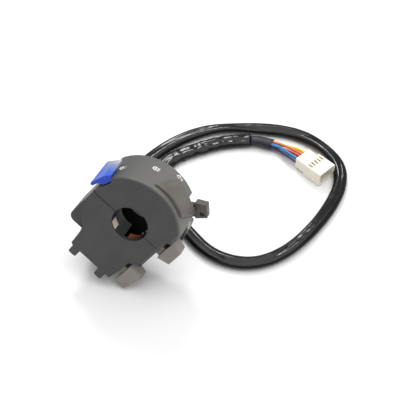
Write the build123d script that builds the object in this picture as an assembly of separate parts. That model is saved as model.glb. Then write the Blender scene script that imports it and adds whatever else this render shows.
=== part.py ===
from build123d import *
import os
from math import asin, cos, degrees, pi, radians, sin, sqrt, tan

os.makedirs("parts", exist_ok=True)

# Left-hand handlebar switch cluster with its harness, lying on a table as it is seen.
# The housing is drawn in its own frame: the bar axis is Z with the open end face at +Z,
# X runs along the split between the halves, and Y points out of the round half.
# The harness and its plug are drawn in the frame of the table, with Z up.

# pose of the housing on the table, in degrees
bar_tilt = 16.0
bar_roll = 35.0

# clearances
cut_over = 1.0
slide_gap = 0.3
cover_gap = 0.35
split_gap = 0.3
pin_gap = 0.05
hole_gap = 0.2

# housing halves
bar_radius = 11.1
cluster_width = 28.5
barrel_radius = 30.4
shell_wall = 2.2
end_wall = 2.4
hub_wall = 2.0
front_round = 1.9
rear_round = 1.0
left_bevel = 1.2
left_cut = 2.2
left_flat = barrel_radius - left_cut
half_width = cluster_width / 2
split_y = split_gap / 2
hub_radius = bar_radius + hub_wall
inner_radius = barrel_radius - shell_wall
front_inner = half_width - end_wall
room_radial = inner_radius - hub_radius

# side panel that carries the two push buttons
panel_low_x = 22.8
panel_high_x = 25.3
panel_step_y = 8.4
panel_depth = 15.5
panel_end_y = 18.0
panel_foot_y = 21.4
panel_back = half_width - panel_depth
shoulder_y = 7.0

# lower half, a box below the bar with a rounded lug at its left
slope_top_y = 11.8
slope_foot_in = 8.2
slope_foot_x = left_flat - slope_foot_in
slope_foot_y = 22.9
waist_in = 10.1
waist_x = left_flat - waist_in
waist_y = 24.6
box_left_in = 11.6
box_left_x = left_flat - box_left_in
box_right_x = 16.2
box_neck_y = 30.5
box_foot_in = 12.3
box_foot_x = left_flat - box_foot_in
box_foot_y = 39.5
box_heel_in = 13.9
box_heel_x = left_flat - box_heel_in
box_toe_x = 14.8
box_bottom_y = 40.6
lug_radius = 4.6
lug_y = 26.6
lug_depth = 6.0
lug_back_depth = 4.5
lug_length = cluster_width - lug_depth - lug_back_depth
lug_x = left_flat - lug_radius
tab_width = 5.3
tab_drop = 5.6
tab_left_in = 17.1
tab_left_x = left_flat - tab_left_in
tab_right_x = 9.2
tab_thickness = 3.0
tab_round = 1.2
tube_end_angle = 285.0
tube_depth = 15.0

# screws that clamp the halves
screw_radius = 1.9
screw_head_radius = 3.2
screw_head_height = 2.6
screw_boss_radius = 3.7
screw_seat_radius = 4.6
screw_left_in = 6.0
screw_left_x = left_flat - screw_left_in
screw_right_x = 17.6
screw_z = -3.0
screw_grip = 8.0
screw_tip_room = 1.5
left_seat_depth = 6.0
right_seat_y = 15.4
cross_slot = 1.0
cross_depth = 1.2
cross_reach_share = 0.6

# nylon pad let into the bore
pad_angle = 237.0
pad_half_angle = 14.0
pad_length = 5.5
pad_front_d = 1.0
pad_thickness = 1.0

# side lever that turns round the bar behind the round half
lever_thickness = 2.6
lever_ring_share = 0.298
lever_ring_radius = hub_radius + lever_ring_share * room_radial
lever_start_angle = 10.0
lever_end_angle = 130.0
lever_arm_width = 8.5
lever_angle = 43.5
lever_travel_angle = 8.0
lever_tab_gap = 1.2
lever_tab_length = 7.6
lever_tab_root = barrel_radius + lever_tab_gap
lever_tab_tip = lever_tab_root + lever_tab_length
lever_root_width = 10.6
lever_tip_width = 8.4
lever_tab_thickness = 4.9
lever_tab_round = 0.7
lever_pocket = 2.8
lever_pocket_depth = 1.5
lever_pocket_in = 4.4
lever_pocket_r = lever_tab_root + lever_pocket_in
retainer_thickness = 1.1
retainer_boss_share = 0.6954
retainer_boss_r = hub_radius + retainer_boss_share * room_radial
retainer_boss_radius = 2.2
retainer_angles = (12.0, 100.0, 150.0)
retainer_end_angle = 1.0
small_screw_radius = 0.9
small_head_radius = 1.8
small_head_height = 1.1
small_screw_length = 4.0
recess_depth = small_head_height + retainer_thickness + lever_thickness + 2 * slide_gap + hole_gap
rear_plate_back = -half_width + recess_depth
rear_plate_front = rear_plate_back + end_wall
lever_front = rear_plate_back - slide_gap
lever_back = lever_front - lever_thickness
retainer_front = lever_back - slide_gap
retainer_back = retainer_front - retainer_thickness

# turn signal paddle, a curved thumb plate that slides round the barrel
paddle_angle = 75.0
paddle_travel_angle = 6.0
paddle_gap = 0.35
paddle_thickness = 3.0
paddle_length = 33.0
paddle_front_d = 3.2
paddle_back_gap = 0.8
paddle_depth = half_width - paddle_front_d - lever_front - paddle_back_gap
paddle_corner_share = 0.0469
paddle_corner = paddle_corner_share * paddle_depth
paddle_edge_share = 0.03125
paddle_edge_round = paddle_edge_share * paddle_depth
paddle_bow = 6.0
paddle_ramp = 1.3
paddle_outline_shares = [(0.44, 0.01), (0.21, 0.87), (0.14, 0.86), (-0.07, 0.735),
                         (-0.26, 0.755), (-0.51, 0.995), (-0.56, 0.995), (-0.47, 0.60),
                         (-0.30, 0.0)]
neck_half_angle = 3.2
neck_length = 3.1
carriage_gap = 0.5
carriage_depth_share = 0.4636
carriage_depth = carriage_depth_share * room_radial
carriage_half_angle = 11.0
carriage_length = 8.0
carriage_front_gap = 2.65
carriage_back = front_inner - carriage_front_gap - carriage_length
neck_back = carriage_back + slide_gap
carriage_outer = inner_radius - carriage_gap
carriage_inner = carriage_outer - carriage_depth
detent_ball_radius = 1.4
detent_groove_depth = 0.7
detent_seat = 1.7
detent_edge = 1.05
detent_ball_z = carriage_back + carriage_length - detent_ball_radius - detent_edge
detent_spring_radius = 1.15
detent_spring_wall = 0.35
board_standoff_share = 0.1523
board_standoff = board_standoff_share * room_radial
board_thickness = 1.6
board_width = 17.2
board_front_gap = 1.35
board_length_share = 0.663
board_length = board_length_share * (front_inner - rear_plate_front)
board_back = front_inner - board_front_gap - board_length
board_post_width = 4.0
board_post_length = 2.5
board_radius = hub_radius + board_standoff
contact_width = 2.4
contact_step = 3.2
contact_length = 3.4
contact_thickness = 0.4
wiper_width = 2.4
wiper_length = 2.6
contact_radius = board_radius + board_thickness + contact_thickness

# beam lever at the left of the round half, hinged on a pin parallel to the bar
beam_pivot_gap = 3.348
beam_pivot_angle = 146.82
beam_pivot_r = inner_radius - beam_pivot_gap
beam_pivot_x = beam_pivot_r * cos(radians(beam_pivot_angle))
beam_pivot_y = beam_pivot_r * sin(radians(beam_pivot_angle))
beam_pin_radius = 1.1
beam_knuckle_radius = 2.6
beam_travel_angle = 6.0
beam_front_d = 1.2
beam_blade_length = 15.8
beam_knuckle_front_d = 4.6
beam_arm_width = 3.4
beam_reach = 12.0
beam_drop = 12.4
beam_front_shares = [(0.53, -0.22), (0.775, 0.18), (0.98, 0.91), (0.94, 1.0), (0.82, 0.985),
                     (0.725, 0.68), (0.59, 0.58), (0.467, 0.485), (0.34, 0.055)]
beam_back_shares = [(0.62, -0.34), (0.84, -0.02), (1.06, 0.34), (1.02, 0.43), (0.90, 0.44),
                    (0.78, 0.43), (0.63, 0.42), (0.467, 0.40), (0.34, 0.055)]
beam_arm_shares = [(0.50, 0.10), (0.50, 0.36)]
beam_spring_radius = 1.95
beam_spring_wall = 0.5
beam_spring_length = 1.7
beam_spring_gap = 0.25
beam_knuckle_back = screw_z + screw_boss_radius + beam_spring_gap + beam_spring_length + hole_gap
beam_pin_bite = 1.3
beam_block_share = 0.3643
beam_block_x = -hub_radius - beam_block_share * (left_flat - shell_wall - hub_radius)
beam_block_drop = 7.4
beam_block_y = beam_pivot_y - beam_block_drop
beam_block_width = 5.6
beam_block_height = 4.4
beam_block_length = front_inner - beam_knuckle_back
beam_leaf_thickness = 0.4
beam_leaf_height = 5.0
beam_leaf_back_shares = (0.85, 0.45)
beam_leaf_length_share = 0.25

# push buttons on the side panel
button_travel = 2.2
button_round = 0.5
horn_front_d = 2.3
horn_depth = 7.6
horn_base_gap = 2.7
horn_reach = 7.0
horn_top_reach = 10.0
horn_low_y = 41.2
horn_high_y = 23.3
horn_slope_y = 25.8
horn_bevel = 1.1
horn_stem_y = -32.0
start_front_share = 0.17193
start_depth_share = 0.28772
start_front_d = start_front_share * cluster_width
start_depth = start_depth_share * cluster_width
start_base_gap = 3.1
start_reach = 7.8
start_low_y = 8.4
start_high_gap = 0.4
start_taper_low = 2.2
start_taper_high = 2.9
start_stem_y = -4.2
start_high_y = panel_step_y - start_high_gap
stem_height = 6.6
stem_depth = 4.8
flange_thickness = 1.4
flange_over = 0.6
bridge_thickness = 0.4
spring_radius = 1.7
spring_wall = 0.45
base_thickness = 1.3
base_height = 9.4
horn_base_x = 4.4
rib_thickness = 1.2
post_radius = 0.75
post_spread = 2.6
post_gap = 0.1
strip_start_angle = -64.0
strip_end_angle = -24.0
strip_thickness = 0.5
strip_width = 5.0
strip_gap = 0.5

# harness from the grommet to the plug
sleeve_radius = 3.5
tape_radius = 3.8
wire_radius = 0.95
run_share = 0.45
grommet_x = 6.0
grommet_y = -30.0
grommet_radius = 5.6
grommet_tip_radius = 4.4
grommet_waist = 4.7
grommet_length = 9.0
grommet_flange = 6.6
grommet_flange_thickness = 1.6
grommet_groove = 0.9
grommet_groove_depth = 0.5
grommet_grooves = 3
exit_run = 19.5

# plug, drawn with its mating end at +X
plug_x = 81.6
plug_y = 107.2
plug_angle = -27.8
plug_length = 22.0
plug_width = 15.0
plug_height = 10.5
plug_rear_length = 8.0
plug_rear_step = 1.0
plug_wall = 1.3
plug_mouth_depth = 7.0
plug_round = 0.8
plug_row_step = 2.6
plug_latch_width = 4.6
plug_latch_length = 9.0
plug_latch_height = 1.6
plug_latch_ramp_share = 0.7
plug_window = 1.3
plug_window_length = 5.0
terminal_width = 0.64
terminal_height = 1.6
terminal_length = 11.0
wire_names = ["navy", "blue", "red", "orange", "yellow"]


def housing_frame():
    """Location that takes the housing's own frame to the table's frame."""
    tilt, roll = radians(bar_tilt), radians(bar_roll)
    along = Vector(0, -cos(tilt), sin(tilt))
    over = Vector(0, sin(tilt), cos(tilt))
    side = Vector(1, 0, 0)
    split = side * cos(roll) - over * sin(roll)
    return Plane(origin=(0, 0, 0), x_dir=split, z_dir=along).location


def on_table(x, y, z):
    """Point of the housing in the frame of the table."""
    return (housing_frame() * Pos(x, y, z)).position


def write(shape, node):
    """Save one node."""
    export_step(shape, f"parts/{node}.step")


def block(x0, x1, y0, y1, z0, z1):
    """Solid box between two corners."""
    middle = Pos((x0 + x1) / 2, (y0 + y1) / 2, (z0 + z1) / 2)
    return middle * Box(abs(x1 - x0), abs(y1 - y0), abs(z1 - z0))


def rod(radius, z0, z1, x=0, y=0):
    """Round bar parallel to the bar axis."""
    return Pos(x, y, (z0 + z1) / 2) * Cylinder(radius, abs(z1 - z0))


def rod_y(radius, y0, y1, x, z):
    """Round bar square to the split."""
    return Pos(x, (y0 + y1) / 2, z) * Rot(90, 0, 0) * Cylinder(radius, abs(y1 - y0))


def rod_x(radius, x0, x1, y, z):
    """Round bar along the split."""
    return Pos((x0 + x1) / 2, y, z) * Rot(0, 90, 0) * Cylinder(radius, abs(x1 - x0))


def polar(radius, angle):
    """Point of the housing's section from a radius and an angle."""
    return radius * cos(radians(angle)), radius * sin(radians(angle))


def sector(r_in, r_out, start, end, z0, z1):
    """Part of a ring round the bar axis, between two angles."""
    middle = (start + end) / 2
    inner = [polar(r_in, angle) for angle in (start, middle, end)]
    outer = [polar(r_out, angle) for angle in (start, middle, end)]
    rim = ThreePointArc(*outer)
    back = Line(outer[2], inner[2])
    bore = ThreePointArc(inner[2], inner[1], inner[0])
    close = Line(inner[0], outer[0])
    face = make_face([rim, back, bore, close])
    return Pos(0, 0, min(z0, z1)) * extrude(face, abs(z1 - z0))


def prism(points, z0, z1):
    """Outline in the plane square to the bar, drawn out along the bar."""
    face = make_face(Polyline(*points, close=True))
    return Pos(0, 0, min(z0, z1)) * extrude(face, abs(z1 - z0))


def radial(angle):
    """Location whose X points out from the bar at an angle, with Z still along the bar."""
    return Rot(0, 0, angle)


def front_bevel(x, y0, y1, amount):
    """Cutter that bevels an edge of the end face which runs along Y."""
    side = amount * sqrt(2)
    return Pos(x, (y0 + y1) / 2, half_width) * Rot(0, 45, 0) * Box(side, abs(y1 - y0), side)


def drum():
    """Turned form of the round half, rounded at the front rim and lightly at the back."""
    solid = Cylinder(barrel_radius, cluster_width)
    solid = fillet(solid.edges().group_by(Axis.Z)[-1], front_round)
    return fillet(solid.edges().group_by(Axis.Z)[0], rear_round)


def upper_body():
    """Outside of the round half: panelled at the front right, full and round at the back."""
    reach = 2 * barrel_radius
    front = half_width + cut_over
    body = drum() & block(-left_flat, reach, split_y, reach, -half_width, half_width)
    body -= block(panel_low_x, reach, 0, panel_step_y, panel_back, front)
    body -= block(panel_high_x, reach, 0, reach, panel_back, front)
    body -= front_bevel(-left_flat, 0, barrel_radius, left_bevel)
    body -= front_bevel(panel_low_x, 0, panel_step_y, front_round)
    return body - front_bevel(panel_high_x, panel_step_y, barrel_radius, front_round)


def upper_room():
    """Space between the end plates of the round half."""
    reach = 2 * barrel_radius
    step_back = panel_back - shell_wall
    room = rod(inner_radius, rear_plate_front, front_inner)
    room &= block(-left_flat + shell_wall, reach, -reach, reach, -half_width, half_width)
    room -= block(panel_low_x - shell_wall, reach, -reach, panel_step_y + shell_wall,
                  step_back, half_width)
    return room - block(panel_high_x - shell_wall, reach, -reach, reach, step_back, half_width)


def lever_recess():
    """Open step at the back of the round half where the side lever turns."""
    open_end = -half_width - cut_over
    room = sector(hub_radius, inner_radius, 0, 180, open_end, rear_plate_back)
    room -= block(-barrel_radius, -left_flat + shell_wall, -barrel_radius, barrel_radius,
                  open_end, rear_plate_back)
    arm = asin((lever_arm_width / 2 + slide_gap) / inner_radius)
    span = lever_travel_angle + degrees(arm)
    return room + sector(inner_radius - cut_over, barrel_radius + cut_over,
                         lever_angle - span, lever_angle + span, open_end, rear_plate_back)


def beam_point(share):
    """Point of the beam lever's section from its shares of reach and drop."""
    return beam_pivot_x - share[0] * beam_reach, beam_pivot_y - share[1] * beam_drop


def beam_face(shares):
    """One end section of the beam lever's blade."""
    return make_face(Polyline(*[beam_point(share) for share in shares], close=True))


def about_pivot(shape, angle):
    """Shape turned about the beam lever's pin."""
    pin = Pos(beam_pivot_x, beam_pivot_y)
    return pin * Rot(0, 0, angle) * Pos(-beam_pivot_x, -beam_pivot_y) * shape


def beam_pocket():
    """Notch in the round half that the beam lever's blade moves in."""
    pocket = None
    for shares in (beam_front_shares, beam_back_shares):
        grown = offset(beam_face(shares), cover_gap, kind=Kind.INTERSECTION)
        for angle in (0, beam_travel_angle):
            turned = about_pivot(grown, angle)
            pocket = turned if pocket is None else pocket + turned
    back = half_width - beam_front_d - beam_blade_length - cover_gap
    return Pos(0, 0, back) * extrude(pocket, half_width + cut_over - back)


def turn_slot():
    """Slot for the paddle's neck and the groove for its detent ball."""
    span = neck_half_angle + paddle_travel_angle + degrees(cover_gap / inner_radius)
    slot = sector(inner_radius - cut_over, barrel_radius + cut_over,
                  paddle_angle - span, paddle_angle + span,
                  neck_back - cover_gap, neck_back + neck_length + cover_gap)
    width = detent_ball_radius + cover_gap
    reach = paddle_travel_angle + degrees(width / inner_radius)
    return slot + sector(inner_radius - cut_over, inner_radius + detent_groove_depth,
                         paddle_angle - reach, paddle_angle + reach,
                         detent_ball_z - width, detent_ball_z + width)


def board_posts():
    """Two posts on the hub that carry the turn signal's contact board."""
    half = board_post_width / 2
    posts = [block(bar_radius + hub_wall / 2, board_radius, -half, half, start,
                   start + board_post_length)
             for start in (board_back, board_back + board_length - board_post_length)]
    return radial(paddle_angle) * (posts[0] + posts[1])


def retainer_places():
    """Middles of the screws that hold the side lever's retainer."""
    return [polar(retainer_boss_r, angle) for angle in retainer_angles]


def upper_shell():
    """Round half of the housing."""
    reach = 2 * barrel_radius
    outside = upper_body()
    shell = outside - upper_room()
    for x in (-screw_left_x, screw_right_x):
        shell += rod_y(screw_boss_radius, 0, reach, x, screw_z) & outside
    shell -= lever_recess()
    shell += sector(bar_radius, hub_radius, 0, 180, -half_width, half_width)
    shell += board_posts()
    for x, y in retainer_places():
        shell += rod(retainer_boss_radius, retainer_front, rear_plate_back, x, y)
    shell &= block(-reach, reach, split_y, reach, -half_width, half_width)
    shell -= rod(bar_radius, -reach, reach)
    for x in (-screw_left_x, screw_right_x):
        shell -= rod_y(screw_radius, 0, split_y + screw_grip + screw_tip_room, x, screw_z)
    for x, y in retainer_places():
        shell -= rod(small_screw_radius, retainer_front, retainer_front + small_screw_length, x, y)
    shell -= rod(beam_pin_radius, beam_pin_ends()[0], beam_pin_ends()[1],
                 beam_pivot_x, beam_pivot_y)
    return shell - beam_pocket() - turn_slot()


def lower_section(top):
    """Front outline of the box half, up to a given height."""
    points = [(-left_flat, top), (-left_flat, -slope_top_y), (-slope_foot_x, -slope_foot_y),
              (-waist_x, -waist_y), (-box_left_x, -box_neck_y), (-box_foot_x, -box_foot_y),
              (-box_heel_x, -box_bottom_y), (box_toe_x, -box_bottom_y),
              (box_right_x, -box_neck_y), (box_right_x, -panel_foot_y),
              (panel_low_x, -panel_end_y), (panel_low_x, top)]
    return make_face(Polyline(*points, close=True))


def lug_section(top):
    """Outline of the lug that the left clamp screw passes through."""
    foot = -lug_y - lug_radius
    points = [(-left_flat, top), (-left_flat, -lug_y), (-lug_x, -lug_y), (-lug_x, foot),
              (0, foot), (0, top)]
    return make_face(Polyline(*points, close=True)) + Pos(-lug_x, -lug_y) * Circle(lug_radius)


def lug_ends():
    """Back and front of the lug along the bar."""
    front = half_width - lug_depth
    return front - lug_length, front


def lower_body():
    """Outside of the box half."""
    back, front = lug_ends()
    body = Pos(0, 0, -half_width) * extrude(lower_section(-split_y), cluster_width)
    body += Pos(0, 0, back) * extrude(lug_section(-split_y), front - back)
    shoulder = rod(barrel_radius, -half_width, panel_back)
    body += shoulder & block(0, barrel_radius, -shoulder_y, -split_y, -half_width, half_width)
    return body - front_bevel(panel_low_x, -panel_end_y, 0, front_round)


def lower_room():
    """Space inside the box half, open at the split."""
    back, front = lug_ends()
    top = shell_wall + cut_over
    face = offset(lower_section(top), -shell_wall, kind=Kind.INTERSECTION)
    room = Pos(0, 0, -front_inner) * extrude(face, 2 * front_inner)
    deep = offset(lower_section(top) + lug_section(top), -shell_wall, kind=Kind.INTERSECTION)
    back, front = max(back + end_wall, -front_inner), front - end_wall
    room += Pos(0, 0, back) * extrude(deep, front - back)
    side = rod(inner_radius, -front_inner, panel_back - shell_wall)
    return room + (side & block(0, barrel_radius, -shoulder_y + shell_wall, cut_over,
                                -half_width, half_width))


def screw_places():
    """Each clamp screw's side position and the height of its seat in the box half."""
    return [(-screw_left_x, -(lug_y + lug_radius) + left_seat_depth),
            (screw_right_x, -right_seat_y)]


def stem_slots():
    """Openings in the box half for the stems of the two buttons."""
    cuts = None
    for wall, y, z in (horn_place(), start_place()):
        high, deep = stem_height / 2 + hole_gap, stem_depth / 2 + hole_gap
        cut = block(wall - shell_wall - cut_over, wall + 2 * cut_over, y - high, y + high,
                    z - deep, z + deep)
        cuts = cut if cuts is None else cuts + cut
    return cuts


def tabs():
    """Two thin tabs below the box, flush with the end face."""
    pair = None
    for x in (-tab_left_x, tab_right_x):
        tab = block(x - tab_width / 2, x + tab_width / 2, -box_bottom_y - tab_drop,
                    -box_bottom_y + shell_wall / 2, half_width - tab_thickness, half_width)
        tab = fillet(tab.edges().filter_by(Axis.Z).group_by(Axis.Y)[0], tab_round)
        pair = tab if pair is None else pair + tab
    return pair


def lower_shell():
    """Box half of the housing."""
    outside = lower_body()
    shell = outside - lower_room()
    for x, seat in screw_places():
        shell += rod_y(screw_seat_radius, -box_bottom_y, -split_y, x, screw_z) & outside
    tube_back = half_width - tube_depth
    shell += sector(bar_radius, hub_radius, 180, tube_end_angle, tube_back, half_width)
    rib_back = horn_base_x - rib_thickness
    shell += block(rib_back, horn_base_x, horn_stem_y - base_height / 2,
                   horn_stem_y + base_height / 2, horn_place()[2], front_inner)
    shell &= block(-barrel_radius, barrel_radius, -box_bottom_y, -split_y,
                   -half_width, half_width)
    shell += tabs()
    shell -= rod(bar_radius, -cluster_width, cluster_width)
    shell -= stem_slots()
    for x, seat in screw_places():
        shell -= rod_y(screw_radius + hole_gap, -box_bottom_y, 0, x, screw_z)
        shell -= rod_y(screw_head_radius + hole_gap, -box_bottom_y - cut_over, seat, x, screw_z)
    shell -= rod(grommet_waist, -half_width - cut_over, 0, grommet_x, grommet_y)
    return shell - pad(hole_gap / 4)


def clamp_screw(place):
    """Pan head screw with a cross slot, its head at the bottom."""
    x, seat = place
    head = rod_y(screw_head_radius, seat - screw_head_height, seat, x, screw_z)
    head = fillet(head.edges().group_by(Axis.Y)[0], screw_head_height / 3)
    screw = head + rod_y(screw_radius, seat, split_y + screw_grip, x, screw_z)
    low = seat - screw_head_height
    reach = screw_head_radius * cross_reach_share
    for wide, deep in ((reach, cross_slot / 2), (cross_slot / 2, reach)):
        screw -= block(x - wide, x + wide, low - cut_over, low + cross_depth,
                       screw_z - deep, screw_z + deep)
    return screw


def pad(grow):
    """Nylon pad in the bore, with room round it when grow is more than nothing."""
    spread = pad_half_angle + degrees(grow / bar_radius)
    front = half_width - pad_front_d
    return sector(bar_radius - (cut_over if grow else 0), bar_radius + pad_thickness + grow,
                  pad_angle - spread, pad_angle + spread, front - pad_length - grow,
                  front + grow)


def side_lever():
    """Ring lever round the bar with a thumb tab outside the barrel."""
    ring = sector(hub_radius + pin_gap, lever_ring_radius, lever_start_angle, lever_end_angle,
                  lever_back, lever_front)
    middle = (hub_radius + lever_ring_radius) / 2
    half = lever_arm_width / 2
    arm = block(middle, lever_tab_root + cut_over, -half, half, lever_back, lever_front)
    root, tip = lever_root_width / 2, lever_tip_width / 2
    tab = prism([(lever_tab_root, -root), (lever_tab_tip, -tip), (lever_tab_tip, tip),
                 (lever_tab_root, root)], lever_front - lever_tab_thickness, lever_front)
    tab = fillet(tab.edges().group_by(Axis.X)[-1], lever_tab_round)
    tab = chamfer(tab.edges().group_by(Axis.Y)[-1], lever_tab_round)
    low = lever_pocket_r - lever_pocket / 2
    tab -= block(low, low + lever_pocket, -lever_pocket - lever_tab_round, -lever_tab_round,
                 lever_front - lever_pocket_depth, lever_front + cut_over)
    return ring + radial(lever_angle) * (arm + tab)


def lever_retainer():
    """Thin half disc that keeps the side lever in its recess."""
    plate = sector(hub_radius + hole_gap, inner_radius - hole_gap, retainer_end_angle,
                   180 - retainer_end_angle, retainer_back, retainer_front)
    plate &= block(-left_flat + shell_wall + hole_gap, barrel_radius, 0, barrel_radius,
                   retainer_back, retainer_front)
    for x, y in retainer_places():
        plate -= rod(small_screw_radius + hole_gap, -half_width, rear_plate_back, x, y)
    return plate


def retainer_screws():
    """Screws of the retainer."""
    screws = []
    for x, y in retainer_places():
        tip = retainer_front + small_screw_length - hole_gap
        head = rod(small_head_radius, retainer_back - small_head_height, retainer_back, x, y)
        screws.append(head + rod(small_screw_radius, retainer_back, tip, x, y))
    return Compound(screws)


def paddle_face():
    """Footprint of the paddle, seen from outside along the direction of its middle."""
    front = half_width - paddle_front_d
    points = [(across * paddle_length, front - deep * paddle_depth)
              for across, deep in paddle_outline_shares]
    face = make_face(Polyline(*points, close=True))
    return fillet(face.vertices(), paddle_corner)


def paddle_plate():
    """Curved plate: its top face bows along its length and rises towards the back."""
    inner = barrel_radius + paddle_gap
    outer = inner + paddle_thickness - paddle_bow
    front = half_width - paddle_front_d
    back = front - paddle_depth
    looking = Plane(origin=(0, 0, 0), x_dir=(0, 1, 0), z_dir=(1, 0, 0))
    column = extrude(looking * paddle_face(), barrel_radius + 2 * paddle_thickness)
    height = paddle_depth + 2 * cut_over
    dome = Pos(paddle_bow, 0, (front + back) / 2) * Cone(outer, outer - paddle_ramp, height)
    plate = (column & dome) - rod(inner, -half_width, half_width)
    top = plate.faces().sort_by(SortBy.AREA)[-2:].sort_by(Axis.X)[-1]
    return fillet(top.edges(), paddle_edge_round)


def turn_paddle():
    """Paddle with the neck that passes through the barrel."""
    plate = radial(paddle_angle) * paddle_plate()
    middle = barrel_radius + paddle_gap + paddle_edge_round
    neck = sector(carriage_outer, middle, paddle_angle - neck_half_angle,
                  paddle_angle + neck_half_angle, neck_back, neck_back + neck_length)
    return plate + neck


def turn_carriage():
    """Slider inside the barrel with a bored seat for the detent ball and its spring."""
    body = sector(carriage_inner, carriage_outer, paddle_angle - carriage_half_angle,
                  paddle_angle + carriage_half_angle, carriage_back,
                  carriage_back + carriage_length)
    bore = rod_x(detent_ball_radius + pin_gap, carriage_inner + detent_seat, barrel_radius,
                 0, detent_ball_z)
    return body - radial(paddle_angle) * bore


def detent_ball_r():
    """Radius at which the detent ball's middle lies."""
    return inner_radius + detent_groove_depth - detent_ball_radius - 2 * pin_gap


def turn_detent_ball():
    """Ball that rides in the barrel's groove."""
    x, y = polar(detent_ball_r(), paddle_angle)
    return Pos(x, y, detent_ball_z) * Sphere(detent_ball_radius)


def turn_detent_spring():
    """Spring behind the ball, as a sleeve of the coil's size."""
    low, high = carriage_inner + detent_seat, detent_ball_r() - detent_ball_radius
    ring = rod_x(detent_spring_radius, low, high, 0, detent_ball_z)
    ring -= rod_x(detent_spring_radius - detent_spring_wall, low, high, 0, detent_ball_z)
    return radial(paddle_angle) * ring


def turn_board():
    """Flat board on the hub's posts."""
    half = board_width / 2
    return radial(paddle_angle) * block(board_radius, board_radius + board_thickness, -half, half,
                                        board_back, board_back + board_length)


def wiper_z():
    """Middle of the wiper and its contacts along the bar."""
    return carriage_back + carriage_length / 2


def turn_contacts():
    """Three flat contacts on the board."""
    z, half = wiper_z(), contact_width / 2
    low = board_radius + board_thickness
    flats = [block(low, contact_radius, y - half, y + half, z - contact_length / 2,
                   z + contact_length / 2) for y in (-contact_step, 0, contact_step)]
    return radial(paddle_angle) * Compound(flats)


def turn_wiper():
    """Contact under the carriage."""
    z, half = wiper_z(), wiper_width / 2
    tip = contact_radius + cover_gap
    root = sqrt(carriage_inner ** 2 - half ** 2)
    body = block(tip, root, -half, half, z - wiper_length / 2, z + wiper_length / 2)
    return radial(paddle_angle) * fillet(body.edges().filter_by(Axis.Z).group_by(Axis.X)[0],
                                         wiper_width / 4)


def beam_pin_ends():
    """Back and front of the beam lever's pin."""
    boss_front = screw_z + screw_boss_radius
    return boss_front - beam_pin_bite, half_width - end_wall / 2


def beam_lever():
    """Wedge blade outside the barrel, carried by an arm and a knuckle on the pin."""
    front = half_width - beam_front_d
    back = front - beam_blade_length
    ends = [Pos(0, 0, back) * beam_face(beam_back_shares),
            Pos(0, 0, front) * beam_face(beam_front_shares)]
    blade = loft(ends, ruled=True)
    knuckle_front = half_width - beam_knuckle_front_d
    half = beam_arm_width / 2
    root = [(beam_pivot_x, beam_pivot_y + half), (beam_pivot_x, beam_pivot_y - half)]
    tip = [beam_point(share) for share in beam_arm_shares]
    arm = prism([root[0], tip[0], tip[1], root[1]], beam_knuckle_back, knuckle_front)
    knuckle = rod(beam_knuckle_radius, beam_knuckle_back, knuckle_front,
                  beam_pivot_x, beam_pivot_y)
    hole = rod(beam_pin_radius + pin_gap, beam_knuckle_back, knuckle_front,
               beam_pivot_x, beam_pivot_y)
    return blade + arm + knuckle - hole


def beam_pivot_pin():
    """Pin between the end plate and the left screw boss."""
    back, front = beam_pin_ends()
    return rod(beam_pin_radius, back, front, beam_pivot_x, beam_pivot_y)


def beam_lever_spring():
    """Return spring of the beam lever, as a sleeve of the coil's size."""
    front = beam_knuckle_back - hole_gap
    back = front - beam_spring_length
    ring = rod(beam_spring_radius, back, front, beam_pivot_x, beam_pivot_y)
    return ring - rod(beam_spring_radius - beam_spring_wall, back, front,
                      beam_pivot_x, beam_pivot_y)


def beam_contact_block():
    """Moulded block on the inside of the end plate, below the beam lever's knuckle."""
    return block(beam_block_x - beam_block_width / 2, beam_block_x + beam_block_width / 2,
                 beam_block_y - beam_block_height / 2, beam_block_y + beam_block_height / 2,
                 front_inner - beam_block_length, front_inner)


def beam_contacts():
    """Two leaf contacts that stand at the left of the block."""
    left = beam_block_x - beam_block_width / 2
    low = beam_block_y - beam_block_height / 2
    leaves = []
    for share in beam_leaf_back_shares:
        back = front_inner - beam_block_length * share
        leaves.append(block(left - beam_leaf_thickness, left, low, low + beam_leaf_height,
                            back, back + beam_block_length * beam_leaf_length_share))
    return Compound(leaves)


def horn_place():
    """Outer face of the leaning wall, height and depth of the horn button's stem."""
    lean = (box_right_x - box_toe_x) / (box_bottom_y - box_neck_y)
    low = stem_height / 2 - horn_stem_y - box_neck_y
    return box_right_x - lean * low, horn_stem_y, half_width - horn_front_d - horn_depth / 2


def start_place():
    """Outer face of the wall, height and depth of the start button's stem."""
    return panel_low_x, start_stem_y, half_width - start_front_d - start_depth / 2


def button(cap, base_x, place):
    """Cap with its stem through the wall and the flange that stops it inside."""
    wall, y, z = place
    high, deep = stem_height / 2, stem_depth / 2
    stop = wall - shell_wall - slide_gap
    stem = block(stop - flange_thickness, base_x + cut_over, y - high, y + high,
                 z - deep, z + deep)
    deep += flange_over
    flange = block(stop - flange_thickness, stop, y - high, y + high, z - deep, z + deep)
    return cap + stem + flange


def horn_button():
    """Lower push button, a slanted block."""
    base_x = box_right_x + horn_base_gap
    front = half_width - horn_front_d
    points = [(base_x, -horn_low_y), (base_x + horn_reach, -horn_low_y),
              (base_x + horn_top_reach, -horn_slope_y), (base_x, -horn_high_y)]
    cap = prism(points, front - horn_depth, front)
    top = cap.edges().group_by(Axis.Z)[-1].sort_by(Axis.Y)[-1]
    cap = chamfer(top, horn_bevel)
    cap = fillet(cap.edges().filter_by(Axis.Z), button_round)
    return button(cap, base_x, horn_place())


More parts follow.
